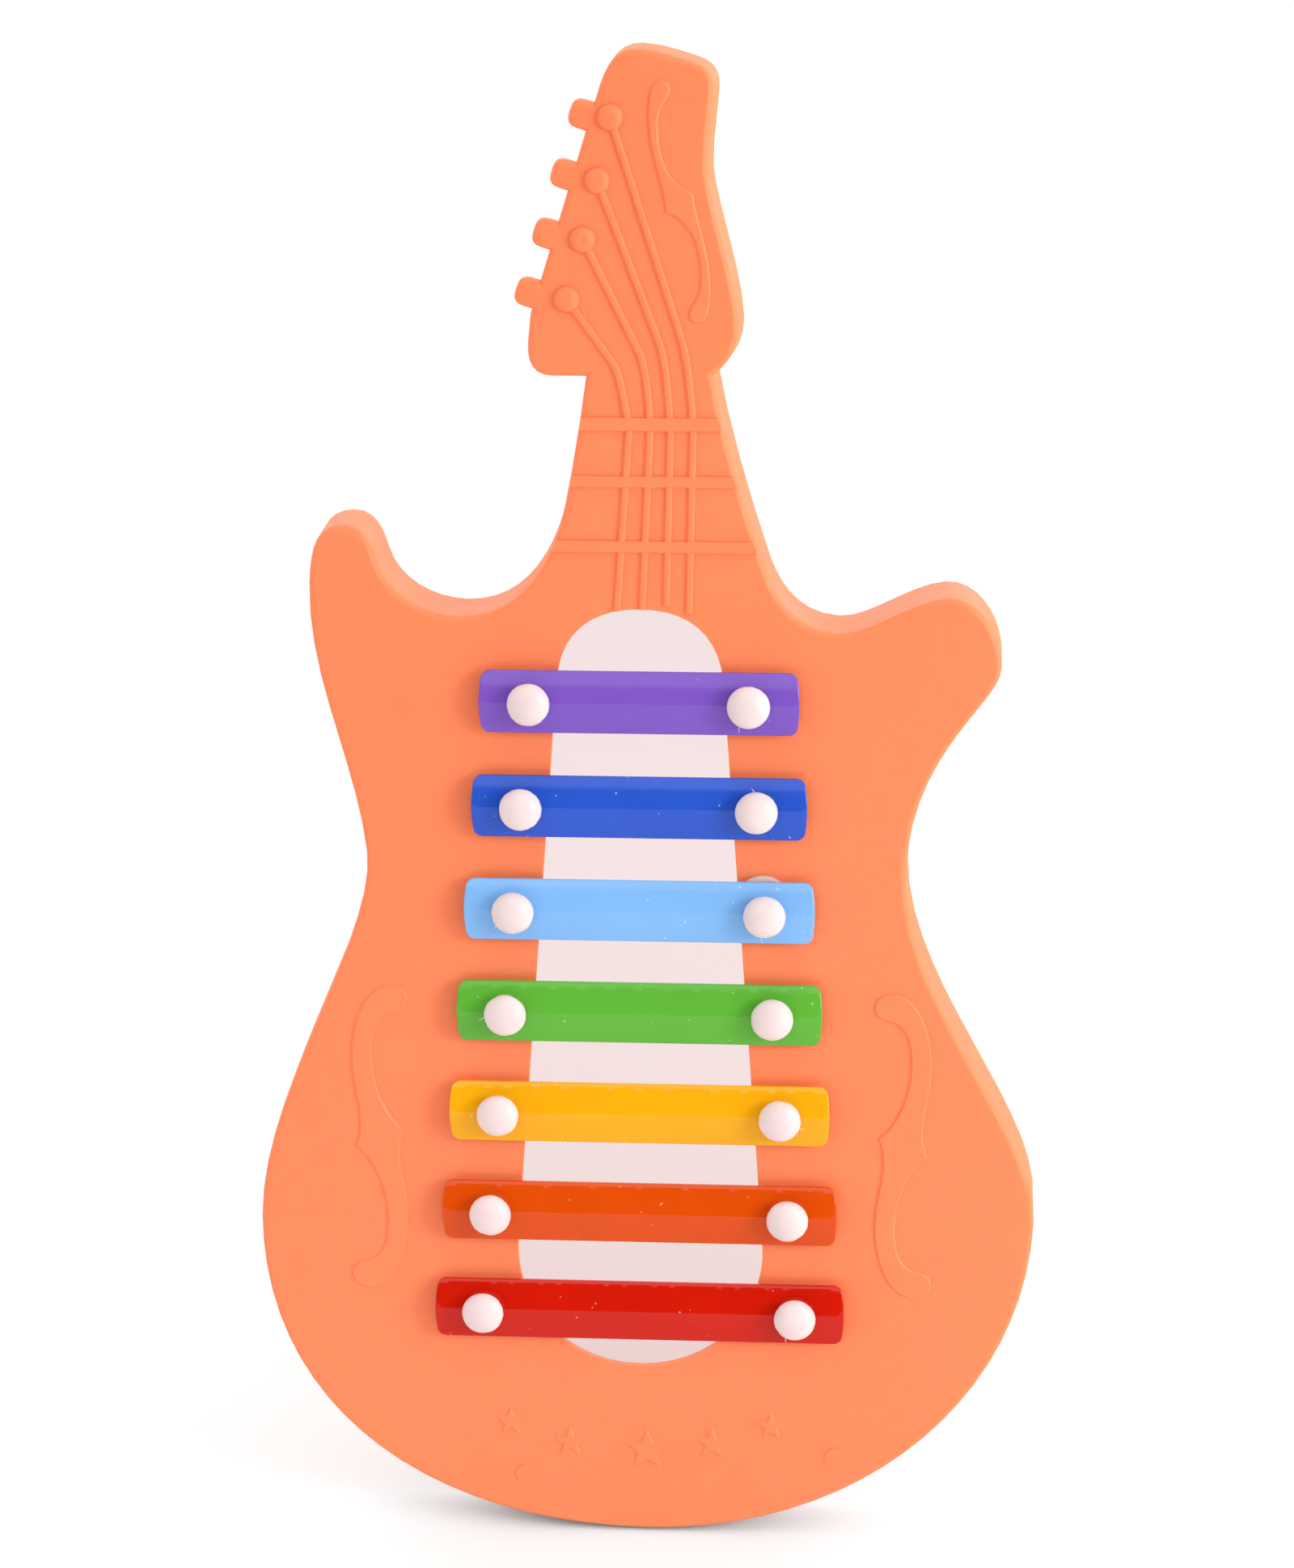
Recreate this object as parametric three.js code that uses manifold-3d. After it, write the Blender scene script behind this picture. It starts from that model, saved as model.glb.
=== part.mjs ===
// A guitar-shaped toy glockenspiel: one orange moulded shell, open at the back, with seven
// ridged steel bars held on soft rings by fourteen domed pegs. Millimetres, standing upright:
// +X is the right-hand side seen from the front, +Z runs up the neck, the face looks along -Y.
import * as THREE from 'three';
import { mergeVertices } from 'three/addons/utils/BufferGeometryUtils.js';
import Module from 'manifold-3d';

const wasm = await Module();
wasm.setup();

// Driving sizes of the shell.
const SHELL_DEPTH = 22;
const SHEET = 2;
const DRAFT = Math.tan(THREE.MathUtils.degToRad(2));
const EDGE_RADIUS = 1.6;
const EDGE_STEPS = 4;
const RIM_FLARE = SHELL_DEPTH * DRAFT;

// Driving sizes of the bars, the pegs that hold them and the rings under them.
const BAR_COUNT = 7;
const BAR_PITCH = 28;
const TOP_BAR_HEIGHT = 232.1;
const SHORTEST_BAR = 83.5;
const BAR_STEP = 4.5;
const BAR_WIDTH = 16.6;
const BAR_RISE = 2.1;
const BAR_SHEET = 1.2;
const BAR_CORNER = 2.6;
const BAR_END_BOW = 0.4;
const PEG_INSET = 13.2;
const PEG_SHAFT = 1.5;
const PEG_HEAD = 5.6;
const PEG_DOME = 4.2;
const PEG_BRIM = 0.9;
const PEG_LENGTH = 12;
const BAR_LIFT = 1;
const RING_RADIUS = 7;
const RING_HOLE = 4.6;
const RING_THICKNESS = 1.8;
const CLEARANCE = 0.3;

// A bar is folded along its middle into a shallow roof: its crown is a crease, and each flank curves
// down a little more steeply towards the edge. Its edges just clear the rings, so that a ring can
// slip out sideways under them.
const EDGE_GAP = 0.15;
const FLANK_PULL = 2 / 3;
const CROWN_UNDERSIDE = RING_THICKNESS + BAR_RISE + EDGE_GAP;
const CROWN_TOP = CROWN_UNDERSIDE + BAR_SHEET;
const HEAD_UNDERSIDE = CROWN_TOP + BAR_LIFT + CLEARANCE;

// Relief heights above the face, and how deep each raised shape is rooted in the sheet.
const STRING_RELIEF = 0.8;
const FRET_RELIEF = 1;
const SCROLL_RELIEF = 0.6;
const STAR_RELIEF = 0.5;
const MARK_RELIEF = 0.35;
const ROOT = 0.5;

// How much narrower the top of a raised shape is than its foot, on each side.
const STRING_TAPER = 0.45;
const FRET_TAPER = 0.4;
const SCROLL_TAPER = 0.5;
const STAR_TAPER = 0.45;

const COLOURS = {
  shell: 0xff8f5e,
  peg: 0xf8e6e2,
  ring: 0xf3c3b4,
  bars: [0x8a60d0, 0x305bce, 0x89c1fc, 0x66bd3c, 0xffb514, 0xe95203, 0xda1e04],
};
const BAR_NAMES = ['violet', 'blue', 'sky', 'green', 'yellow', 'orange', 'red'];

// Everything below is drawn lying down, in the plane of the face: x across, y up the neck,
// z above the face. This turns it upright without rounding anything.
const STANDING = new THREE.Matrix4().makeBasis(
  new THREE.Vector3(1, 0, 0),
  new THREE.Vector3(0, 0, 1),
  new THREE.Vector3(0, -1, 0),
);

// A lathe turns about Y; this points its axis straight out of the upright face.
const OUT_OF_FACE = new THREE.Matrix4().makeBasis(
  new THREE.Vector3(1, 0, 0),
  new THREE.Vector3(0, -1, 0),
  new THREE.Vector3(0, 0, -1),
);

function toSolid(geometry) {
  const bare = geometry.index ? geometry.toNonIndexed() : geometry.clone();
  bare.deleteAttribute('normal');
  bare.deleteAttribute('uv');
  const merged = mergeVertices(bare, 1e-5);
  return new wasm.Manifold(new wasm.Mesh({
    numProp: 3,
    vertProperties: merged.attributes.position.array,
    triVerts: Uint32Array.from(merged.index.array),
  }));
}

function toGeometry(solid) {
  const mesh = solid.getMesh();
  const geometry = new THREE.BufferGeometry();
  geometry.setAttribute('position', new THREE.BufferAttribute(mesh.vertProperties, 3));
  geometry.setIndex(new THREE.BufferAttribute(mesh.triVerts, 1));
  return geometry;
}

// How far a facet may stand off the curve it replaces, and how many sides round shapes have.
const SAGITTA = 0.07;
const ROUND_SIDES = 14;
const POST_SIDES = 12;
const SAMPLES = 8;

function curvePoints(curve) {
  let turning = 0;
  for (let i = 1; i <= SAMPLES; i += 1) {
    turning += curve.getTangent((i - 1) / SAMPLES).angleTo(curve.getTangent(i / SAMPLES));
  }
  const steps = Math.ceil(Math.sqrt((curve.getLength() * turning) / (8 * SAGITTA)));
  return curve.getPoints(Math.max(1, steps)).slice(0, -1);
}

function counterClockwise(points) {
  return THREE.ShapeUtils.isClockWise(points) ? points.reverse() : points;
}

function pathPoints(path) {
  return counterClockwise(path.curves.flatMap(curvePoints));
}

// The same outline moved outwards by an amount, or inwards when the amount is negative.
function grown(points, amount) {
  return points.map((point, i) => {
    const before = points.at(i - 1);
    const after = points[(i + 1) % points.length];
    const a = point.clone().sub(before).normalize();
    const b = after.clone().sub(point).normalize();
    const middle = new THREE.Vector2(a.y + b.y, -a.x - b.x).normalize();
    const stretch = Math.max(0.5, middle.x * a.y - middle.y * a.x);
    return point.clone().addScaledVector(middle, amount / stretch);
  });
}

// A closed solid through a stack of outlines; each level is a height and how far the outline grows.
function loft(points, levels) {
  const rings = levels.map(([height, growth]) => grown(points, growth)
    .map((point) => new THREE.Vector3(point.x, point.y, height)));
  const count = points.length;
  const index = [];
  for (let level = 1; level < rings.length; level += 1) {
    for (let i = 0; i < count; i += 1) {
      const next = (i + 1) % count;
      const low = (level - 1) * count;
      const high = level * count;
      index.push(low + i, low + next, high + next, low + i, high + next, high + i);
    }
  }
  const top = (rings.length - 1) * count;
  for (const [a, b, c] of THREE.ShapeUtils.triangulateShape(rings[0], [])) {
    index.push(a, c, b);
  }
  for (const [a, b, c] of THREE.ShapeUtils.triangulateShape(rings.at(-1), [])) {
    index.push(top + a, top + b, top + c);
  }
  const geometry = new THREE.BufferGeometry().setFromPoints(rings.flat());
  geometry.setIndex(index);
  return geometry;
}

// A raised shape: straight up from its root, then leaning in to its top.
function raised(points, height, taper) {
  return toSolid(loft(points, [[-ROOT, 0], [Math.max(height - taper, height / 4), 0], [height, -taper]]));
}

function slab(path, low, high) {
  return toSolid(loft(pathPoints(path), [[low, 0], [high, 0]]));
}

function post(x, y, radius, low, high) {
  const geometry = new THREE.CylinderGeometry(radius, radius, high - low, POST_SIDES);
  geometry.rotateX(Math.PI / 2);
  geometry.translate(x, y, (low + high) / 2);
  return toSolid(geometry);
}

function block(x0, x1, y0, y1, low, high) {
  const geometry = new THREE.BoxGeometry(x1 - x0, y1 - y0, high - low);
  geometry.translate((x0 + x1) / 2, (y0 + y1) / 2, (low + high) / 2);
  return toSolid(geometry);
}

// --- The outline of the face ---------------------------------------------------------------

// The four tuner knobs stand out of this slanting left edge of the headstock.
const SLANT_FOOT = new THREE.Vector2(-27.9, 332.2);
const SLANT_HEAD = new THREE.Vector2(-10.9, 386.8);

function faceOutline() {
  const path = new THREE.Path();
  // Lower bout, a little fuller on the left.
  path.moveTo(105.6, 89.5);
  path.bezierCurveTo(103.8, 38.5, 59.6, -1, 1.9, -1);
  path.bezierCurveTo(-61, -1, -103.6, 34, -102.8, 87.7);
  // Left waist, and the tall left horn.
  path.bezierCurveTo(-102.2, 123, -70.2, 167, -72.4, 190);
  path.bezierCurveTo(-74.8, 214.3, -87.4, 237.3, -86.2, 262);
  path.bezierCurveTo(-85.7, 272, -84, 277.2, -77.1, 277.4);
  path.bezierCurveTo(-71.7, 277.6, -69.9, 272.6, -68.5, 267.8);
  path.bezierCurveTo(-65.9, 259.5, -57, 254, -47.2, 253.7);
  // Left side of the neck, up to the step under the headstock.
  path.bezierCurveTo(-31.5, 253.4, -23.1, 266.4, -19.3, 283);
  path.quadraticCurveTo(-16.4, 297, -13.7, 316.5);
  path.lineTo(-22.5, 316.5);
  path.bezierCurveTo(-27.2, 316.5, -29, 319.7, -28.6, 325);
  path.quadraticCurveTo(-28.3, 329, SLANT_FOOT.x, SLANT_FOOT.y);
  path.lineTo(SLANT_HEAD.x, SLANT_HEAD.y);
  // Top of the headstock and its waisted right side.
  path.bezierCurveTo(-8.9, 393.6, -6.6, 398.9, -0.5, 398.6);
  path.bezierCurveTo(4, 398.4, 7.2, 397.3, 13, 395.5);
  path.bezierCurveTo(17.2, 394.1, 18.7, 392.6, 18.4, 388);
  path.bezierCurveTo(17.9, 380, 16.8, 376, 17, 368.5);
  path.bezierCurveTo(17.3, 361, 24.7, 341, 25.1, 329.8);
  path.bezierCurveTo(25.3, 323.2, 21.9, 319.5, 18.6, 316.7);
  // Right side of the neck, the valley and the short right horn.
  path.bezierCurveTo(20.9, 303, 27, 282.2, 31.9, 268.1);
  path.bezierCurveTo(33.9, 261.9, 38.6, 250.9, 51.6, 250.3);
  path.bezierCurveTo(59.6, 249.9, 70.5, 259.2, 79.5, 259.8);
  path.bezierCurveTo(87.8, 260.3, 93.7, 250.2, 93.7, 241.5);
  // Right waist, back to the bout.
  path.bezierCurveTo(93.7, 232.4, 69.8, 218.6, 69.9, 185.2);
  path.bezierCurveTo(70, 150.7, 107, 115, 105.6, 89.5);
  return pathPoints(path);
}

const KNOB_COUNT = 4;
const KNOB_FIRST = 5;
const KNOB_PITCH = 15.6;
const KNOB_HALF_WIDTH = 3.6;
const KNOB_REACH = 5.4;
const KNOB_CORNER = 2.8;
const KNOB_ROOT = 3.4;
const KNOB_DEPTH = 4;

// One tuner knob seen from the front, rooted inside the headstock and rounded at its outer corners.
function knobOutline(number) {
  const along = SLANT_HEAD.clone().sub(SLANT_FOOT).normalize();
  const at = (t, n) => [
    SLANT_FOOT.x + along.x * t - along.y * n,
    SLANT_FOOT.y + along.y * t + along.x * n,
  ];
  const low = KNOB_FIRST + KNOB_PITCH * number - KNOB_HALF_WIDTH;
  const high = low + 2 * KNOB_HALF_WIDTH;
  const path = new THREE.Path();
  path.moveTo(...at(low, -KNOB_ROOT));
  path.lineTo(...at(low, KNOB_REACH - KNOB_CORNER));
  path.quadraticCurveTo(...at(low, KNOB_REACH), ...at(low + KNOB_CORNER, KNOB_REACH));
  path.lineTo(...at(high - KNOB_CORNER, KNOB_REACH));
  path.quadraticCurveTo(...at(high, KNOB_REACH), ...at(high, KNOB_REACH - KNOB_CORNER));
  path.lineTo(...at(high, -KNOB_ROOT));
  path.closePath();
  return pathPoints(path);
}

// The hole in the face under the bars: a round top, straight flaring sides and a wide round foot.
function openingOutline() {
  const path = new THREE.Path();
  path.moveTo(0, 256.2);
  path.bezierCurveTo(12.5, 256.2, 20.6, 250, 21.8, 237);
  path.lineTo(33, 83);
  path.bezierCurveTo(34.4, 63, 20, 47, 0, 47);
  path.bezierCurveTo(-20, 47, -34.4, 63, -33, 83);
  path.lineTo(-21.8, 237);
  path.bezierCurveTo(-20.6, 250, -12.5, 256.2, 0, 256.2);
  return path;
}

// --- Raised decoration ------------------------------------------------------------------------

// Each string: its tuner disc, where it straightens at the nut, and where it ends by the opening.
const STRINGS = [
  { disc: [-18.6, 336.1], bend: [-5, 317.5], nut: [-2.7, 303], end: [-5.9, 255.7] },
  { disc: [-14.4, 351.2], bend: [2, 318.5], nut: [2.7, 303], end: [0.6, 255.8] },
  { disc: [-10.7, 366], bend: [7, 320], nut: [7.9, 303], end: [6.9, 257.1] },
  { disc: [-7.4, 381.7], bend: [12.8, 319.5], nut: [13.7, 303], end: [12.8, 255] },
];
const STRING_WIDTH = 1.8;
const BEND_STEPS = 8;
const DISC_RADIUS = 3.3;
const DISC_RELIEF = 1.8;

// A tuner post: a low dome with a dimple in its middle, as radius and height pairs.
const DISC_PROFILE = [
  [0, -ROOT],
  [DISC_RADIUS, -ROOT],
  [DISC_RADIUS, DISC_RELIEF * 0.3],
  [DISC_RADIUS * 0.88, DISC_RELIEF * 0.65],
  [DISC_RADIUS * 0.65, DISC_RELIEF * 0.9],
  [DISC_RADIUS * 0.35, DISC_RELIEF],
  [DISC_RADIUS * 0.15, DISC_RELIEF * 0.85],
  [0, DISC_RELIEF * 0.85],
];

// A raised band of even width along a list of points.
function band(points, width, relief) {
  const left = [];
  const right = [];
  points.forEach((point, i) => {
    const before = points[Math.max(0, i - 1)];
    const after = points[Math.min(points.length - 1, i + 1)];
    const side = after.clone().sub(before).normalize().rotateAround(new THREE.Vector2(), Math.PI / 2);
    left.push(point.clone().addScaledVector(side, width / 2));
    right.push(point.clone().addScaledVector(side, -width / 2));
  });
  return raised([...right, ...left.reverse()], relief, STRING_TAPER);
}

function stringRelief({ disc, bend, nut, end }) {
  const run = new THREE.Path();
  run.moveTo(...disc);
  run.lineTo(...bend.map((value, axis) => value + (disc[axis] - value) * 0.12));
  run.quadraticCurveTo(...bend, ...nut);
  run.lineTo(...end);
  const points = run.curves.flatMap((curve, i) => {
    const steps = i === 1 ? BEND_STEPS : 1;
    return curve.getPoints(steps).slice(i === 0 ? 0 : 1);
  });
  const profile = DISC_PROFILE.map((pair) => new THREE.Vector2(...pair));
  const dome = new THREE.LatheGeometry(profile, ROUND_SIDES).rotateX(Math.PI / 2).translate(...disc, 0);
  return [band(points, STRING_WIDTH, STRING_RELIEF), toSolid(dome)];
}

// Frets cross the whole neck and are trimmed where its edges start to round.
const FRETS = [
  { y: 304.3, width: 3.4 },
  { y: 289.5, width: 2.9 },
  { y: 272.6, width: 3 },
];

const NECK_REACH = 40;

function fretRelief({ y, width }) {
  const low = y - width / 2;
  const high = y + width / 2;
  const corners = [[-NECK_REACH, low], [NECK_REACH, low], [NECK_REACH, high], [-NECK_REACH, high]];
  return raised(corners.map((corner) => new THREE.Vector2(...corner)), FRET_RELIEF, FRET_TAPER);
}

// A sound-hole scroll is the same drawn half twice, the second turned half round the centre.
function scrollRelief(x, y, mirror, drawHalf) {
  const half = new THREE.Path();
  drawHalf(half);
  const points = half.curves.flatMap(curvePoints);
  const whole = [...points, ...points.map((point) => point.clone().negate())];
  const placed = whole.map((point) => new THREE.Vector2(x + point.x * mirror, y + point.y));
  return raised(counterClockwise(placed), SCROLL_RELIEF, SCROLL_TAPER);
}

// From one barb of the middle, up the inner edge, round the curl and back down to the other barb.
function bodyScrollHalf(half) {
  half.moveTo(-6.6, 2.6);
  half.bezierCurveTo(-3, 4.5, 1.8, 13, 1.8, 23);
  half.bezierCurveTo(1.8, 29, 0.5, 34.6, -4.7, 35.1);
  half.bezierCurveTo(-9.4, 35.6, -9.4, 42, -4.7, 42.6);
  half.bezierCurveTo(3, 44, 7.4, 33, 7.4, 22);
  half.bezierCurveTo(7.4, 12, 3.2, 6, 6.6, -2.6);
}

function headScrollHalf(half) {
  half.moveTo(-3.5, -2.5);
  half.bezierCurveTo(-3.6, 3, -8, 12, -8, 21);
  half.bezierCurveTo(-8, 26.5, -7.4, 30.4, -4.6, 30.4);
  half.bezierCurveTo(-2.2, 30.4, -1.8, 27.6, -3.2, 25.8);
  half.bezierCurveTo(-5, 23.5, -5.4, 22, -5.4, 19);
  half.bezierCurveTo(-5.4, 11, -3, 4.5, 3.5, 2.5);
}

// Where each star's middle is, and how far its points reach.
const STARS = [
  [-35.4, 29.9, 4.3],
  [-19.2, 24.3, 4.7],
  [1.9, 22.5, 6.3],
  [19.6, 24.9, 4.8],
  [35.7, 30.2, 4.2],
];
const STAR_WAIST = 0.45;

function starRelief([x, y, radius]) {
  const outline = [];
  for (let i = 0; i < 10; i += 1) {
    const angle = Math.PI / 2 + (i * Math.PI) / 5;
    const reach = i % 2 ? radius * STAR_WAIST : radius;
    outline.push(new THREE.Vector2(x + reach * Math.cos(angle), y + reach * Math.sin(angle)));
  }
  return raised(outline, STAR_RELIEF, STAR_TAPER);
}

// --- The shell --------------------------------------------------------------------------------

const BARS = BAR_NAMES.slice(0, BAR_COUNT).map((name, i) => {
  const length = SHORTEST_BAR + BAR_STEP * i;
  return { name, length, y: TOP_BAR_HEIGHT - BAR_PITCH * i, pegX: length / 2 - PEG_INSET };
});
const PEG_SIDES = [['left', -1], ['right', 1]];

// Six plain feet reach from under the face to the plane of the rim.
const FEET = [[-37, 160.5], [37, 160.5], [-41.2, 78], [41.2, 78], [-31.5, 14.7], [53.2, 21.7]];
const FOOT_RADIUS = 2.6;
const MARK_RADIUS = 2.7;
const BOSS_RADIUS = 3.6;
const BOSS_DEPTH = 14;
const RIB = 1.6;
const RIB_DEPTH = 8;
const SPINE_TOP = 396;

// Drafted walls down to a depth, under a rounded front edge.
function walled(points, depth) {
  const levels = [[-depth, depth * DRAFT], [-EDGE_RADIUS, EDGE_RADIUS * DRAFT]];
  for (let i = 1; i <= EDGE_STEPS; i += 1) {
    const angle = (i / EDGE_STEPS) * (Math.PI / 2);
    levels.push([EDGE_RADIUS * (Math.sin(angle) - 1), EDGE_RADIUS * (Math.cos(angle) - 1)]);
  }
  return toSolid(loft(points, levels));
}

// The whole shell as a solid; the tuner knobs are thin plates level with the face.
function outerForm() {
  const knobs = Array.from({ length: KNOB_COUNT }, (_, i) => walled(knobOutline(i), KNOB_DEPTH));
  return union([walled(faceOutline(), SHELL_DEPTH), ...knobs]);
}

// A hollow of even wall thickness, open at the back.
function hollow() {
  return toSolid(loft(faceOutline(), [
    [-SHELL_DEPTH - 1, RIM_FLARE + DRAFT - SHEET],
    [-SHEET, SHEET * DRAFT - SHEET],
  ]));
}

// Everything above the face, out to halfway round its rounded edge.
function aboveFace() {
  const inset = EDGE_RADIUS * (1 - Math.SQRT1_2);
  return toSolid(loft(faceOutline(), [[-ROOT, -inset], [DISC_RELIEF + 1, -inset]]));
}

function union(solids) {
  return solids.reduce((sum, next) => sum.add(next));
}

// Bosses for the pegs, feet, and the ribs that stiffen the sheet, all behind the face.
function backFeatures() {
  const features = FEET.map(([x, y]) => post(x, y, FOOT_RADIUS, -SHELL_DEPTH, -ROOT));
  for (const { y, pegX } of BARS) {
    for (const [, side] of PEG_SIDES) {
      features.push(post(side * pegX, y, BOSS_RADIUS, -BOSS_DEPTH, -ROOT));
    }
  }
  const ribLow = -SHEET - RIB_DEPTH;
  for (const [, side] of PEG_SIDES) {
    const top = new THREE.Vector2(side * BARS[0].pegX, BARS[0].y);
    const foot = new THREE.Vector2(side * BARS.at(-1).pegX, BARS.at(-1).y);
    const across = new THREE.Vector2(RIB / 2, 0);
    const corners = [foot.clone().add(across), top.clone().add(across)];
    corners.push(top.clone().sub(across), foot.clone().sub(across));
    features.push(toSolid(loft(corners, [[ribLow, 0], [-ROOT, 0]])));
  }
  for (const { y } of FRETS) {
    features.push(block(-NECK_REACH, NECK_REACH, y - RIB / 2, y + RIB / 2, ribLow, -ROOT));
  }
  features.push(block(-RIB / 2, RIB / 2, FRETS.at(-1).y, SPINE_TOP, ribLow, -ROOT));
  return union(features);
}

function relief() {
  return union([
    ...STRINGS.flatMap(stringRelief),
    ...FRETS.map(fretRelief),
    scrollRelief(70.3, 111, 1, bodyScrollHalf),
    scrollRelief(-70.1, 111, -1, bodyScrollHalf),
    scrollRelief(10.1, 360.5, 1, headScrollHalf),
    ...STARS.map(starRelief),
    ...FEET.slice(4).map(([x, y]) => post(x, y, MARK_RADIUS, -ROOT, MARK_RELIEF)),
  ]);
}

function shell() {
  const outside = outerForm();
  const walls = outside.subtract(hollow());
  const joined = walls.add(backFeatures().intersect(outside)).add(relief().intersect(aboveFace()));
  let cut = joined.subtract(slab(openingOutline(), -SHEET - 1, FRET_RELIEF + 1));
  for (const { y, pegX } of BARS) {
    for (const [, side] of PEG_SIDES) {
      cut = cut.subtract(post(side * pegX, y, PEG_SHAFT + CLEARANCE, -BOSS_DEPTH - 1, 1));
    }
  }
  return toGeometry(cut);
}

// --- Bars, pegs and rings ---------------------------------------------------------------------

// A folded strip with rounded corners, slightly bowed ends and a clearance hole for each peg.
function bar({ length, pegX }) {
  const edge = BAR_WIDTH / 2;
  const underside = CROWN_UNDERSIDE - BAR_RISE;
  const pulled = underside + BAR_RISE * FLANK_PULL;
  const section = new THREE.Shape();
  section.moveTo(-edge, underside);
  section.quadraticCurveTo(-edge / 2, pulled, 0, CROWN_UNDERSIDE);
  section.quadraticCurveTo(edge / 2, pulled, edge, underside);
  section.lineTo(edge, underside + BAR_SHEET);
  section.quadraticCurveTo(edge / 2, pulled + BAR_SHEET, 0, CROWN_TOP);
  section.quadraticCurveTo(-edge / 2, pulled + BAR_SHEET, -edge, underside + BAR_SHEET);
  const along = { depth: length, bevelEnabled: false, curveSegments: 4 };
  const strip = new THREE.ExtrudeGeometry(section, along);
  strip.translate(0, 0, -length / 2);
  strip.applyMatrix4(new THREE.Matrix4().makeBasis(
    new THREE.Vector3(0, 1, 0),
    new THREE.Vector3(0, 0, 1),
    new THREE.Vector3(1, 0, 0),
  ));
  const x = length / 2 - BAR_END_BOW;
  const flat = edge - BAR_CORNER;
  const plan = new THREE.Path();
  plan.moveTo(x - BAR_CORNER, -edge);
  plan.absarc(x - BAR_CORNER, -flat, BAR_CORNER, -Math.PI / 2, 0, false);
  plan.quadraticCurveTo(x + 2 * BAR_END_BOW, 0, x, flat);
  plan.absarc(x - BAR_CORNER, flat, BAR_CORNER, 0, Math.PI / 2, false);
  plan.absarc(BAR_CORNER - x, flat, BAR_CORNER, Math.PI / 2, Math.PI, false);
  plan.quadraticCurveTo(-x - 2 * BAR_END_BOW, 0, -x, -flat);
  plan.absarc(BAR_CORNER - x, -flat, BAR_CORNER, Math.PI, 1.5 * Math.PI, false);
  plan.closePath();
  let solid = toSolid(strip).intersect(slab(plan, -1, CROWN_TOP + 1));
  for (const [, side] of PEG_SIDES) {
    solid = solid.subtract(post(side * pegX, 0, PEG_SHAFT + 2 * CLEARANCE, -1, CROWN_TOP + 1));
  }
  return toGeometry(solid);
}

// A turned profile, given as radius and height pairs, standing on the face.
function turned(profile) {
  const points = profile.map(([radius, height]) => new THREE.Vector2(radius, height));
  return new THREE.LatheGeometry(points, ROUND_SIDES).applyMatrix4(OUT_OF_FACE);
}

// A domed head on a plain shaft with a blunt tip.
function peg() {
  const profile = [[0, 1 - PEG_LENGTH], [PEG_SHAFT, 1 - PEG_LENGTH], [PEG_SHAFT, HEAD_UNDERSIDE]];
  profile.push([PEG_HEAD - 0.3, HEAD_UNDERSIDE], [PEG_HEAD, HEAD_UNDERSIDE + PEG_BRIM / 2]);
  const steps = 3;
  for (let i = 0; i <= steps; i += 1) {
    const angle = (i / steps) * (Math.PI / 2);
    const height = HEAD_UNDERSIDE + PEG_BRIM + (PEG_DOME - PEG_BRIM) * Math.sin(angle);
    profile.push([i === steps ? 0 : PEG_HEAD * Math.cos(angle), height]);
  }
  return turned(profile);
}

function ring() {
  return turned([
    [RING_HOLE, 0],
    [RING_RADIUS, 0],
    [RING_RADIUS, RING_THICKNESS],
    [RING_HOLE, RING_THICKNESS],
    [RING_HOLE, 0],
  ]);
}

// --- The toy ----------------------------------------------------------------------------------

function piece(name, geometry, look) {
  const mesh = new THREE.Mesh(geometry, new THREE.MeshStandardMaterial(look));
  mesh.name = name;
  return mesh;
}

// The soft ring under the right-hand peg of the sky-blue bar has slipped up and shows past its edge.
const SLIPPED_RING = { bar: 2, side: 1, x: -0.6, y: 2.7 };

const toy = new THREE.Group();
toy.add(piece('body_shell', shell().applyMatrix4(STANDING), {
  color: COLOURS.shell,
  roughness: 0.38,
  metalness: 0,
}));

BARS.forEach((layout, i) => {
  const steel = piece(`bar_${i + 1}_${layout.name}`, bar(layout).applyMatrix4(STANDING), {
    color: COLOURS.bars[i],
    roughness: 0.18,
    metalness: 0.1,
  });
  steel.position.z = layout.y;
  toy.add(steel);
  for (const [sideName, side] of PEG_SIDES) {
    const x = side * layout.pegX;
    const held = piece(`peg_${i + 1}_${sideName}`, peg(), { color: COLOURS.peg, roughness: 0.45 });
    held.position.set(x, 0, layout.y);
    const slipped = i === SLIPPED_RING.bar && side === SLIPPED_RING.side;
    const soft = piece(`ring_${i + 1}_${sideName}`, ring(), { color: COLOURS.ring, roughness: 0.7 });
    soft.position.set(x + (slipped ? SLIPPED_RING.x : 0), 0, layout.y + (slipped ? SLIPPED_RING.y : 0));
    toy.add(held, soft);
  }
});

// The origin is the middle of the box the toy fills, at its lowest point.
const box = new THREE.Box3().setFromObject(toy);
const middle = box.getCenter(new THREE.Vector3());
toy.position.set(-middle.x, -middle.y, -box.min.z);

export default toy;
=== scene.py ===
"""Looks for the guitar-shaped toy glockenspiel: the moulded shell, its seven enamelled
steel bars, the domed pegs that hold them and the soft rings under them."""

import math

import bmesh
import bpy
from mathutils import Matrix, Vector, geometry, noise


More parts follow.
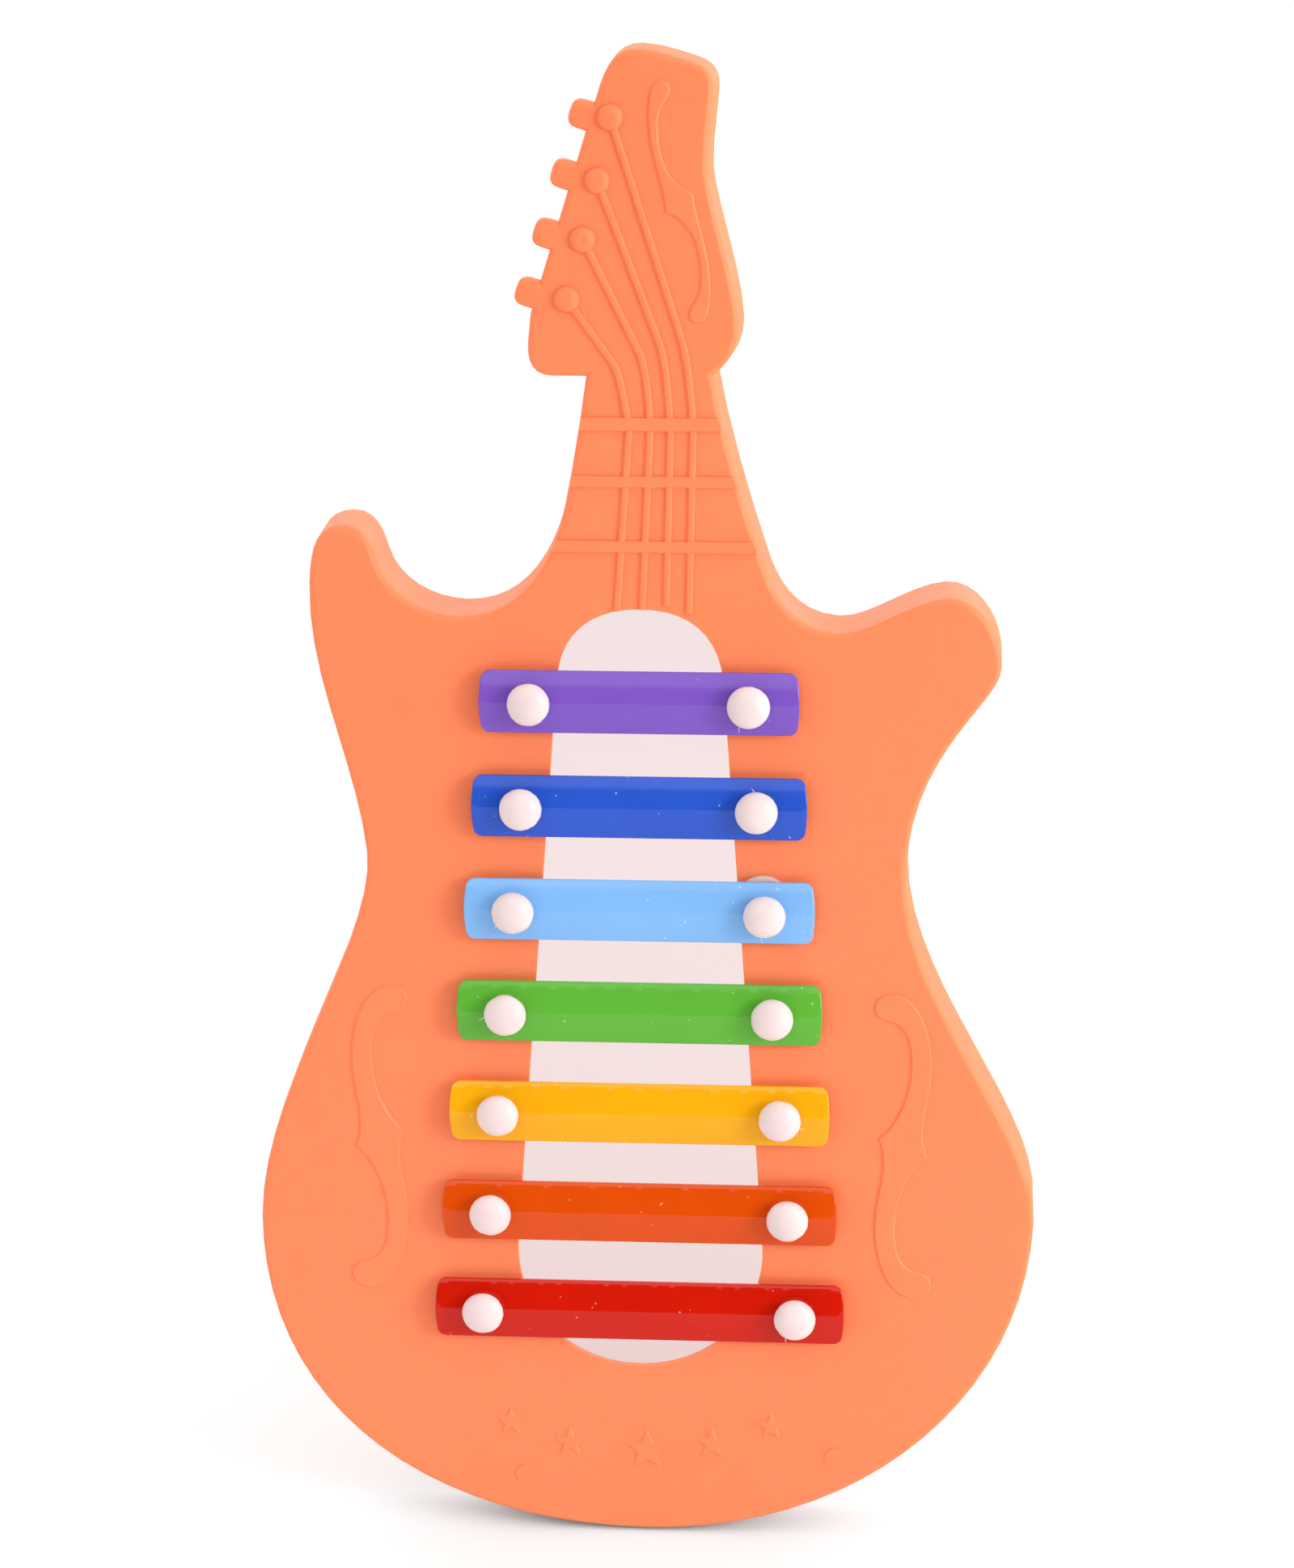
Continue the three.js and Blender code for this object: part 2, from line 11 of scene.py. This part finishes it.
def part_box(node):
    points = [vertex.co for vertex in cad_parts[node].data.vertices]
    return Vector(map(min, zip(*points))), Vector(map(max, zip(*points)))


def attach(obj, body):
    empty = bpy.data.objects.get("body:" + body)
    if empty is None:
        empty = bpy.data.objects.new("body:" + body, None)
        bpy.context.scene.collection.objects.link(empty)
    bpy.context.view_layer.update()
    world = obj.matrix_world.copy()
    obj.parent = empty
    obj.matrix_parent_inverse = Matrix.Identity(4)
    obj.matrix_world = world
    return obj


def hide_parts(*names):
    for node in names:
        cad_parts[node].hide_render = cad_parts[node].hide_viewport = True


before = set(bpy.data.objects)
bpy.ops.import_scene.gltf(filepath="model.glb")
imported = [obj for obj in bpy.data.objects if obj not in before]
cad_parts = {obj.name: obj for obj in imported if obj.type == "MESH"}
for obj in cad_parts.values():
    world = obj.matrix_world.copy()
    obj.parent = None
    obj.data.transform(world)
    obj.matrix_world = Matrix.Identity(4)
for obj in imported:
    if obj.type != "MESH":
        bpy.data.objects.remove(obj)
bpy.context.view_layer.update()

MM = 0.001
SIDES = ("left", "right")


def middle(node):
    low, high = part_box(node)
    return (low + high) / 2


# Linear colours of the enamel on each bar, from the shortest bar down to the longest.
BAR_COLOURS = {
    "violet": (0.200, 0.088, 0.520),
    "blue": (0.022, 0.090, 0.560),
    "sky": (0.215, 0.470, 0.880),
    "green": (0.112, 0.430, 0.038),
    "yellow": (0.900, 0.400, 0.004),
    "orange": (0.700, 0.070, 0.0015),
    "red": (0.590, 0.009, 0.0012),
}

# The rings lie on the face, so their back gives its plane.
FACE_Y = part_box("ring_1_left")[1].y

# A bar: its strip, the rolled edge all round it, and the roof it is pressed into. The flanks lean
# back a little beside the crease and more at the long edges.
BAR_WIDTH = 16.6 * MM
BAR_SHEET = 1.2 * MM
BAR_CORNER = 2.5 * MM
BAR_EDGE = 0.35 * MM
BAR_END_BOW = 0.4 * MM
CREASE = 0.35 * MM
FLANK_TILT = (math.tan(math.radians(10)), math.tan(math.radians(18)))
HOLE_RADIUS = 2.1 * MM

# A peg and a ring; their outer radii and heights come from the frame.
PEG_SHAFT = 1.5 * MM
PEG_DOME = 4.2 * MM
PEG_BRIM = 0.54 * MM
PEG_SIDES = 72
RING_HOLE = 4.6 * MM
RING_SIDES = 56

# The middle of the top bar: the camera and the opening are placed from it.
TOP_BAR = middle("bar_1_violet")

# The camera looks a little from the right and down on the toy, from about a metre away.
CAMERA_AZIMUTH = math.radians(3.5)
CAMERA_ELEVATION = math.radians(13.39)
CAMERA_DISTANCE = 0.9526
CAMERA_LENS = 83.55
CAMERA_TARGET = Vector((TOP_BAR.x + 0.0019, FACE_Y, TOP_BAR.z - 0.0223))
CAMERA_BACK = Vector((
    math.sin(CAMERA_AZIMUTH) * math.cos(CAMERA_ELEVATION),
    -math.cos(CAMERA_AZIMUTH) * math.cos(CAMERA_ELEVATION),
    math.sin(CAMERA_ELEVATION),
))
CAMERA_PLACE = CAMERA_TARGET + CAMERA_BACK * CAMERA_DISTANCE

# The middle of the opening in the face, and how far it reaches across and up, with a margin.
OPENING_MIDDLE = Vector((TOP_BAR.x, FACE_Y, TOP_BAR.z - 0.0808))
OPENING_REACH = (0.050, 0.112)


# --- Shader nodes -----------------------------------------------------------------------------

class Nodes:
    """A short way to add and join the nodes of one material."""

    def __init__(self, name):
        self.material = bpy.data.materials.new(name)
        self.material.use_nodes = True
        self.tree = self.material.node_tree
        self.surface = self.tree.nodes["Principled BSDF"]
        self.where = self.add("ShaderNodeTexCoord").outputs["Object"]

    def add(self, kind, **settings):
        node = self.tree.nodes.new(kind)
        for key, value in settings.items():
            setattr(node, key, value)
        return node

    def feed(self, socket, value):
        if isinstance(value, bpy.types.NodeSocket):
            self.tree.links.new(value, socket)
        else:
            socket.default_value = value

    def set(self, **values):
        for name, value in values.items():
            self.feed(self.surface.inputs[name.replace("_", " ")], value)

    def noise(self, scale, detail=3.0, stretch=(1, 1, 1)):
        mapping = self.add("ShaderNodeMapping")
        self.feed(mapping.inputs["Vector"], self.where)
        mapping.inputs["Scale"].default_value = stretch
        texture = self.add("ShaderNodeTexNoise")
        self.feed(texture.inputs["Vector"], mapping.outputs["Vector"])
        texture.inputs["Scale"].default_value = scale
        texture.inputs["Detail"].default_value = detail
        return texture.outputs["Fac"]

    def ramp(self, value, low, high, out_low=0.0, out_high=1.0):
        node = self.add("ShaderNodeMapRange")
        ends = {"Value": value, "From Min": low, "From Max": high, "To Min": out_low, "To Max": out_high}
        for name, end in ends.items():
            self.feed(node.inputs[name], end)
        return node.outputs["Result"]

    def mix(self, factor, first, second):
        node = self.add("ShaderNodeMix", data_type="RGBA")
        self.feed(node.inputs["Factor"], factor)
        self.feed(node.inputs[6], first)
        self.feed(node.inputs[7], second)
        return node.outputs[2]

    def math(self, operation, first, second=0.0):
        node = self.add("ShaderNodeMath", operation=operation)
        self.feed(node.inputs[0], first)
        self.feed(node.inputs[1], second)
        return node.outputs[0]

    def bump(self, height, strength, distance):
        node = self.add("ShaderNodeBump")
        self.feed(node.inputs["Height"], height)
        node.inputs["Strength"].default_value = strength
        node.inputs["Distance"].default_value = distance
        self.set(Normal=node.outputs["Normal"])


def shade(colour, factor=1.0):
    return tuple(min(1.0, channel * factor) for channel in colour) + (1.0,)


# --- Materials --------------------------------------------------------------------------------

SHELL_ORANGE = (1.0, 0.265, 0.106)
SHELL_DEEP = (1.0, 0.222, 0.074)
BOUNCE_GREY = (0.62, 0.60, 0.60)


def shell_material():
    """Satin orange polypropylene: cloudy colour, faint flow lines, fine moulding grain.

    Near the ground it throws a nearly neutral light back, so that the floor keeps a grey shade.
    """
    n = Nodes("moulded_orange")
    cloud = n.ramp(n.noise(9.0, 4.0), 0.35, 0.65, 0.0, 0.22)
    flow = n.ramp(n.noise(26.0, 3.0, stretch=(1.0, 1.0, 0.2)), 0.42, 0.62, 0.0, 0.14)
    base = n.mix(cloud, shade(SHELL_ORANGE), shade(SHELL_DEEP))
    moulded = n.mix(flow, base, shade(SHELL_DEEP))
    split = n.add("ShaderNodeSeparateXYZ")
    n.feed(split.inputs["Vector"], n.where)
    near_ground = n.ramp(split.outputs["Z"], 0.02, 0.14, 0.9, 0.0)
    bounced = n.math("MULTIPLY", n.add("ShaderNodeLightPath").outputs["Is Diffuse Ray"], near_ground)
    facing = n.add("ShaderNodeLayerWeight").outputs["Facing"]
    n.set(
        Base_Color=n.mix(bounced, moulded, shade(BOUNCE_GREY)),
        Roughness=n.ramp(n.noise(60.0, 5.0), 0.3, 0.7, 0.40, 0.50),
        Specular_IOR_Level=n.ramp(facing, 0.80, 0.92, 0.42, 0.06),
        IOR=1.49,
        Subsurface_Weight=0.6,
        Subsurface_Radius=(1.0, 0.22, 0.08),
        Subsurface_Scale=4.0 * MM,
    )
    grain = n.math("MULTIPLY", n.noise(1500.0, 2.0), 0.4)
    n.bump(n.math("ADD", grain, n.noise(70.0, 2.0)), 0.05, 0.3 * MM)
    return n.material


def enamel_material(word):
    """Glossy enamel on steel, with a trace of orange peel and specks of dust under the coat."""
    n = Nodes(f"{word}_enamel")
    colour = BAR_COLOURS[word]
    cloud = n.ramp(n.noise(40.0, 3.0), 0.3, 0.7)
    base = n.mix(cloud, shade(colour, 0.96), shade(colour, 1.04))
    speck = n.ramp(n.noise(620.0, 1.0), 0.775, 0.80, 0.0, 0.55)
    pale = tuple(0.55 + 0.45 * channel for channel in colour) + (1.0,)
    n.set(
        Base_Color=n.mix(speck, base, pale),
        Roughness=n.ramp(n.noise(90.0, 4.0), 0.3, 0.7, 0.05, 0.10),
        IOR=1.52,
    )
    n.bump(n.math("ADD", n.noise(240.0, 2.0), n.math("MULTIPLY", speck, 2.0)), 0.03, 0.15 * MM)
    return n.material


def peg_material():
    """Soft, slightly waxy white polyethylene, with the orange light of the shell painted in as a pinkish
    tint.
    """
    n = Nodes("peg_white")
    cloud = n.ramp(n.noise(150.0, 3.0), 0.3, 0.7)
    n.set(
        # Pinkish white: the white plastic with orange light from the shell painted into its colour.
        Base_Color=n.mix(cloud, (0.78, 0.66, 0.655, 1.0), (0.82, 0.70, 0.695, 1.0)),
        Roughness=n.ramp(n.noise(300.0, 3.0), 0.3, 0.7, 0.36, 0.5),
        Subsurface_Weight=1.0,
        Subsurface_Radius=(1.0, 0.8, 0.75),
        Subsurface_Scale=3.0 * MM,
    )
    n.bump(n.noise(600.0, 3.0), 0.1, 0.15 * MM)
    return n.material


def ring_material():
    """Clear, faintly pink soft vinyl."""
    n = Nodes("ring_vinyl")
    cloud = n.noise(200.0, 3.0)
    n.set(
        Base_Color=n.mix(cloud, (0.96, 0.70, 0.62, 1.0), (0.99, 0.82, 0.77, 1.0)),
        Roughness=0.3,
        IOR=1.45,
        Transmission_Weight=0.4,
    )
    n.bump(n.noise(500.0, 3.0), 0.15, 0.2 * MM)
    return n.material


def floor_material():
    """White studio board, a little uneven, with a pale rosy shade painted on it behind the bars.

    The painted shade lies where the board is seen through the opening in the face. In the glossy
    parts of the toy the board shows with a darker, warmer painted shade, as if the toy's shade lay on it.
    """
    n = Nodes("studio_board")
    cloud = n.ramp(n.noise(3.0, 4.0), 0.3, 0.7)
    white = n.mix(cloud, (0.955, 0.955, 0.955, 1.0), (0.97, 0.97, 0.97, 1.0))
    surface = n.add("ShaderNodeNewGeometry")
    place, towards = n.add("ShaderNodeSeparateXYZ"), n.add("ShaderNodeSeparateXYZ")
    n.feed(place.inputs["Vector"], surface.outputs["Position"])
    n.feed(towards.inputs["Vector"], surface.outputs["Incoming"])
    # Where the line of sight to this point crosses the plane of the face.
    steps = n.math("DIVIDE", n.math("SUBTRACT", FACE_Y, place.outputs["Y"]), towards.outputs["Y"])
    crossing_x = n.math("ADD", place.outputs["X"], n.math("MULTIPLY", towards.outputs["X"], steps))
    crossing_z = n.math("MULTIPLY", towards.outputs["Z"], steps)
    across = n.math("DIVIDE", n.math("SUBTRACT", crossing_x, OPENING_MIDDLE.x), OPENING_REACH[0])
    up = n.math("DIVIDE", n.math("SUBTRACT", crossing_z, OPENING_MIDDLE.z), OPENING_REACH[1])
    spread = n.math("ADD", n.math("MULTIPLY", across, across), n.math("MULTIPLY", up, up))
    # Painted shade: the board's colour turns rosy and darker where it is seen through the opening, deepest
    # lower down.
    shaded = n.math("MULTIPLY", n.ramp(spread, 0.92, 1.22, 1.0, 0.0),
                    n.math("GREATER_THAN", place.outputs["Y"], FACE_Y))
    painted_shade_fade = n.ramp(up, -1.0, 0.3)
    rosy = n.mix(painted_shade_fade, (0.69, 0.57, 0.56, 1.0), (0.775, 0.65, 0.65, 1.0))
    seen = n.mix(shaded, white, rosy)
    # Painted shade in reflections: glossy rays see the board in a darker, warmer colour.
    painted_reflection_shade = n.math("MULTIPLY", n.add("ShaderNodeLightPath").outputs["Is Glossy Ray"], 0.6)
    n.set(
        Base_Color=n.mix(painted_reflection_shade, seen, (0.20, 0.14, 0.11, 1.0)),
        Roughness=n.ramp(n.noise(30.0, 4.0), 0.3, 0.7, 0.65, 0.8),
        Specular_IOR_Level=0.2,
    )
    return n.material


# --- Meshes -----------------------------------------------------------------------------------

def from_face(x, z, height):
    """A point so far across, up, and above the face of the toy."""
    return Vector((x, FACE_Y - height, z))


def make_piece(name, verts, faces, material, body, replaced):
    mesh = bpy.data.meshes.new(name)
    mesh.from_pydata(verts, [], faces)
    work = bmesh.new()
    work.from_mesh(mesh)
    bmesh.ops.recalc_face_normals(work, faces=work.faces)
    for face in work.faces:
        face.smooth = True
    work.to_mesh(mesh)
    work.free()
    mesh.materials.append(material)
    piece = bpy.data.objects.new(name, mesh)
    bpy.context.scene.collection.objects.link(piece)
    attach(piece, body)
    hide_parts(replaced)
    return piece


def arc(centre_x, centre_z, radius, start, end, steps):
    for i in range(steps + 1):
        angle = math.radians(start + (end - start) * i / steps)
        yield Vector((centre_x + radius * math.cos(angle), centre_z + radius * math.sin(angle)))


def bar_outline(half_length, inset):
    """A bar seen from the front, around its middle: rounded corners and slightly bowed ends."""
    half_width = BAR_WIDTH / 2 - inset
    radius = BAR_CORNER - inset
    flat = half_width - radius
    end = half_length - BAR_END_BOW - inset
    corner = list(arc(end - radius, flat, radius, 90, 0, 7))
    bow = [Vector((end + BAR_END_BOW * (1 - part * part), flat * part)) for part in (0.6, 0.2)]
    upper = corner + bow
    right = upper + [Vector((p.x, -p.y)) for p in reversed(upper)]
    count = 24
    span = 2 * (end - radius)
    bottom = [Vector((span / 2 - span * i / count, -half_width)) for i in range(1, count)]
    return right + bottom + [-p for p in right] + [-p for p in bottom]


def roof(z):
    """How far the top of a bar drops below its crease, at a distance from its middle line."""
    z = abs(z)
    near, far = FLANK_TILT
    bend = (far - near) / BAR_WIDTH
    if z < CREASE:
        return near * z * z / (2 * CREASE) + bend * z * z
    return near * (z - CREASE / 2) + bend * z * z


def triangulate(loops, spacing, rows):
    """Fills an outline that has holes, with extra points on level rows so that the sheet can bend."""
    points, edges = [], []
    for loop in loops:
        start = len(points)
        points.extend(loop)
        edges.extend((start + i, start + (i + 1) % len(loop)) for i in range(len(loop)))
    fixed = list(points)
    half = max(p.x for p in loops[0]) - spacing / 2
    count = int(2 * half / spacing)
    for row in rows:
        for i in range(count + 1):
            candidate = Vector((-half + 2 * half * i / count, row))
            if min((candidate - p).length for p in fixed) > spacing * 0.25:
                points.append(candidate)
    inside_with_holes = 5
    out = geometry.delaunay_2d_cdt(points, edges, [], inside_with_holes, 1e-8)
    return out[0], out[2]


def bridge(loops):
    """Quads between loops that have the same number of points."""
    for first, second in zip(loops, loops[1:]):
        count = len(first)
        for i in range(count):
            after = (i + 1) % count
            yield first[i], first[after], second[after], second[i]


def add_bar(number, word, material):
    """A pressed steel bar: a crisp crease along its middle, rolled edges and two holes."""
    node = f"bar_{number}_{word}"
    low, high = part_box(node)
    centre = (low + high) / 2
    crown = FACE_Y - low.y
    half_length = (high.x - low.x) / 2
    holes = []
    for side in SIDES:
        x = middle(f"peg_{number}_{side}").x - centre.x
        holes.append(list(arc(x, 0, HOLE_RADIUS, 0, 345, 23)))
    rows = [BAR_WIDTH / 2 * step / 8 for step in range(-7, 8) if step]
    rows += [-CREASE, -CREASE / 2, 0, CREASE / 2, CREASE]
    quarter = [math.radians(angle) for angle in (0, 20, 40, 60, 90)]
    rim = [(BAR_EDGE * (1 - math.sin(a)), BAR_EDGE * (1 - math.cos(a))) for a in quarter]
    rim += [(inset, BAR_SHEET - depth) for inset, depth in reversed(rim)]

    outline = bar_outline(half_length, BAR_EDGE)
    plan, triangles = triangulate([outline] + holes, 2.5 * MM, rows)
    verts, faces = [], []

    def place(points, depth):
        start = len(verts)
        verts.extend(
            from_face(centre.x + p.x, centre.z + p.y, crown - roof(p.y) - depth) for p in points
        )
        return list(range(start, len(verts)))

    top, bottom = place(plan, 0), place(plan, BAR_SHEET)
    faces += [[top[i] for i in triangle] for triangle in triangles]
    faces += [[bottom[i] for i in reversed(triangle)] for triangle in triangles]
    count = len(outline)
    between = [place(bar_outline(half_length, inset), depth) for inset, depth in rim[1:-1]]
    faces += bridge([top[:count]] + between + [bottom[:count]])
    start = count
    for hole in holes:
        stop = start + len(hole)
        faces += bridge([top[start:stop], bottom[start:stop]])
        start = stop
    make_piece(f"{word}_enamelled_bar", verts, faces, material, f"{word}_bar", node)


def turn(profile, sides):
    """Points and faces of a turned shape, from radius and height pairs; a zero radius is one point."""
    verts, faces, loops = [], [], []
    for radius, height in profile:
        start = len(verts)
        if radius == 0:
            verts.append(Vector((0, 0, height)))
            loops.append([start])
            continue
        for i in range(sides):
            angle = 2 * math.pi * i / sides
            verts.append(Vector((radius * math.cos(angle), radius * math.sin(angle), height)))
        loops.append(list(range(start, start + sides)))
    for first, second in zip(loops, loops[1:]):
        for i in range(sides):
            after = (i + 1) % sides
            if len(first) == 1:
                faces.append((first[0], second[after], second[i]))
            elif len(second) == 1:
                faces.append((first[i], first[after], second[0]))
            else:
                faces.append((first[i], first[after], second[after], second[i]))
    return verts, faces


# Hair-thin flash left on some pegs: which way it points, and how long it is.
PEG_FLASH = {
    "peg_1_right": (244, 1.4),
    "peg_2_right": (95, 1.2),
    "peg_3_left": (217, 1.0),
    "peg_3_right": (260, 1.3),
    "peg_4_left": (187, 1.5),
    "peg_5_right": (338, 1.3),
    "peg_7_right": (244, 1.2),
}
FLASH_THICKNESS = 0.2 * MM
FLASH_ROOT = 0.25 * MM
FLASH_RISE = 0.35 * MM
FLASH_BELOW_TOP = 3.7 * MM


def peg_profile(node):
    """Up the plain shaft, round the brim and over the dome; heights are above the face."""
    low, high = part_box(node)
    tip, top = FACE_Y - high.y, FACE_Y - low.y
    radius = (high.z - low.z) / 2
    underside = top - PEG_DOME
    profile = [(0, tip), (PEG_SHAFT * 0.6, tip), (PEG_SHAFT, tip + 0.7 * MM), (PEG_SHAFT, underside)]
    profile += [(radius - 0.35 * MM, underside), (radius - 0.1 * MM, underside + 0.12 * MM)]
    steps = 14
    for i in range(steps):
        angle = (i / steps) * math.pi / 2
        height = underside + PEG_BRIM + (PEG_DOME - PEG_BRIM) * math.sin(angle)
        profile.append((radius * math.cos(angle), height))
    profile.append((0, top))
    return profile


def add_flash(verts, faces, radius, height, angle, length):
    """A thin curl of plastic standing off the brim."""
    sides, steps = 6, 6
    loops = []
    for step in range(steps + 1):
        part = step / steps
        bend = angle + math.radians(6) * part
        reach = radius - FLASH_ROOT + (length + FLASH_ROOT) * part
        thick = FLASH_THICKNESS * (1 - 0.6 * part)
        across = Vector((-math.sin(bend), math.cos(bend), 0))
        middle_point = Vector((reach * math.cos(bend), reach * math.sin(bend), height + FLASH_RISE * part))
        start = len(verts)
        for i in range(sides):
            turn_angle = 2 * math.pi * i / sides
            verts.append(middle_point + across * thick * math.cos(turn_angle)
                         + Vector((0, 0, thick * math.sin(turn_angle))))
        loops.append(list(range(start, start + sides)))
    faces += bridge(loops)
    faces += [loops[0], loops[-1][::-1]]


def add_peg(number, side, material):
    """A domed peg, a little uneven round its brim as it came out of the mould."""
    node = f"peg_{number}_{side}"
    verts, faces = turn(peg_profile(node), PEG_SIDES)
    centre = middle(node)
    seed = Vector((number * 3.1, SIDES.index(side) * 7.7, 0))
    for point in verts:
        outer = Vector((point.x, point.y)).length
        if outer > 2 * MM:
            direction = Vector((point.x, point.y, 0)).normalized()
            lump = noise.noise(direction * 1.6 + seed) * 0.6 + noise.noise(direction * 5 + seed) * 0.4
            point += direction * min(0, lump) * 0.3 * MM
    if node in PEG_FLASH:
        angle, length = PEG_FLASH[node]
        low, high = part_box(node)
        brim_height = FACE_Y - low.y - FLASH_BELOW_TOP
        radius = (high.z - low.z) / 2
        add_flash(verts, faces, radius, brim_height, math.radians(angle), length * MM)
    placed = [from_face(centre.x + p.x, centre.z + p.y, p.z) for p in verts]
    make_piece(f"domed_peg_{number}_{side}", placed, faces, material, "shell", node)


def add_ring(number, side, material):
    """A soft ring with rounded rims."""
    node = f"ring_{number}_{side}"
    low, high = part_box(node)
    centre = (low + high) / 2
    outer = (high.z - low.z) / 2
    half_height = (high.y - low.y) / 2
    half_width = (outer - RING_HOLE) / 2
    section = []
    steps = 20
    for i in range(steps + 1):
        angle = 2 * math.pi * i / steps
        c, s = math.cos(angle), math.sin(angle)
        section.append((
            RING_HOLE + half_width + half_width * math.copysign(abs(c) ** 0.6, c),
            half_height + half_height * math.copysign(abs(s) ** 0.6, s),
        ))
    verts, faces = turn(section[:-1] + [section[0]], RING_SIDES)
    placed = [from_face(centre.x + p.x, centre.z + p.y, p.z) for p in verts]
    piece = make_piece(f"soft_ring_{number}_{side}", placed, faces, material, "shell", node)
    work = bmesh.new()
    work.from_mesh(piece.data)
    bmesh.ops.remove_doubles(work, verts=work.verts, dist=0.001 * MM)
    bmesh.ops.recalc_face_normals(work, faces=work.faces)
    work.to_mesh(piece.data)
    work.free()


# --- The shell --------------------------------------------------------------------------------

# Shell edges sharper than this, in degrees, are shaded as corners.
SHELL_CORNER = 38


def dress_shell():
    """The shell keeps its CAD shape, shaded smooth over its curves and crisp at its corners."""
    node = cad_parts["body_shell"]
    node.data.materials.clear()
    node.data.materials.append(shell_material())
    weld = node.modifiers.new("weld", "WELD")
    weld.merge_threshold = 0.002 * MM
    planar = node.modifiers.new("planar", "DECIMATE")
    planar.decimate_type = "DISSOLVE"
    planar.angle_limit = math.radians(0.5)
    corners = node.modifiers.new("corners", "EDGE_SPLIT")
    corners.split_angle = math.radians(SHELL_CORNER)
    corners.use_edge_sharp = False
    for polygon in node.data.polygons:
        polygon.use_smooth = True
    even = node.modifiers.new("even", "WEIGHTED_NORMAL")
    even.keep_sharp = True


dress_shell()
peg_look, ring_look = peg_material(), ring_material()
for bar_number, bar_word in enumerate(BAR_COLOURS, 1):
    add_bar(bar_number, bar_word, enamel_material(bar_word))
    for peg_side in SIDES:
        add_peg(bar_number, peg_side, peg_look)
        add_ring(bar_number, peg_side, ring_look)


# --- Stage ------------------------------------------------------------------------------------

def add_floor():
    mesh = bpy.data.meshes.new("floor")
    near, far, side = -1.5, 25.0, 20.0
    corners = [(-side, near, 0), (side, near, 0), (side, far, 0), (-side, far, 0)]
    mesh.from_pydata(corners, [], [(0, 1, 2, 3)])
    mesh.materials.append(floor_material())
    floor = bpy.data.objects.new("floor", mesh)
    bpy.context.scene.collection.objects.link(floor)


KEY_PLACE = Vector((1.4, -0.9, 0.55))
KEY_TARGET = Vector((0, 0, 0.2))
KEY_SIZE = 0.6
KEY_POWER = 14


def add_key():
    """One soft panel to the right, which draws the raised lines on the shell."""
    light = bpy.data.lights.new("key", "AREA")
    light.shape = "SQUARE"
    light.size = KEY_SIZE
    light.energy = KEY_POWER
    lamp = bpy.data.objects.new("key", light)
    bpy.context.scene.collection.objects.link(lamp)
    lamp.location = KEY_PLACE
    lamp.rotation_euler = (KEY_TARGET - KEY_PLACE).to_track_quat("-Z", "Y").to_euler()


ROOM_LIGHT = 1.15
ROOM_SHADE = 0.03


def add_world():
    """A white room all round, with a dark gap in front of the toy that only its reflections show."""
    world = bpy.data.worlds.new("studio")
    bpy.context.scene.world = world
    world.use_nodes = True
    tree = world.node_tree

    def add(kind, **settings):
        node = tree.nodes.new(kind)
        for key, value in settings.items():
            setattr(node, key, value)
        return node

    def soft_step(value, low, high):
        node = add("ShaderNodeMapRange", interpolation_type="SMOOTHSTEP")
        tree.links.new(value, node.inputs["Value"])
        node.inputs["From Min"].default_value = low
        node.inputs["From Max"].default_value = high
        return node.outputs["Result"]

    direction = add("ShaderNodeSeparateXYZ")
    tree.links.new(add("ShaderNodeTexCoord").outputs["Generated"], direction.inputs["Vector"])
    high_up = soft_step(direction.outputs["Z"], 0.275, 0.31)
    behind = soft_step(direction.outputs["Y"], -0.72, -0.45)
    room = add("ShaderNodeMath", operation="MAXIMUM")
    tree.links.new(high_up, room.inputs[0])
    tree.links.new(behind, room.inputs[1])
    lit = add("ShaderNodeMath", operation="MAXIMUM")
    tree.links.new(room.outputs[0], lit.inputs[0])
    tree.links.new(add("ShaderNodeLightPath").outputs["Is Camera Ray"], lit.inputs[1])
    level = add("ShaderNodeMapRange")
    tree.links.new(lit.outputs[0], level.inputs["Value"])
    level.inputs["To Min"].default_value = ROOM_SHADE
    level.inputs["To Max"].default_value = ROOM_LIGHT
    tree.links.new(level.outputs["Result"], tree.nodes["Background"].inputs["Strength"])
    tree.nodes["Background"].inputs["Color"].default_value = (1.0, 1.0, 1.0, 1.0)


def add_camera():
    data = bpy.data.cameras.new("camera")
    data.lens = CAMERA_LENS
    camera = bpy.data.objects.new("camera", data)
    bpy.context.scene.collection.objects.link(camera)
    camera.location = CAMERA_PLACE
    camera.rotation_euler = (-CAMERA_BACK).to_track_quat("-Z", "Y").to_euler()
    bpy.context.scene.camera = camera


add_floor()
add_world()
add_key()
add_camera()
bpy.context.scene.view_settings.view_transform = "Standard"
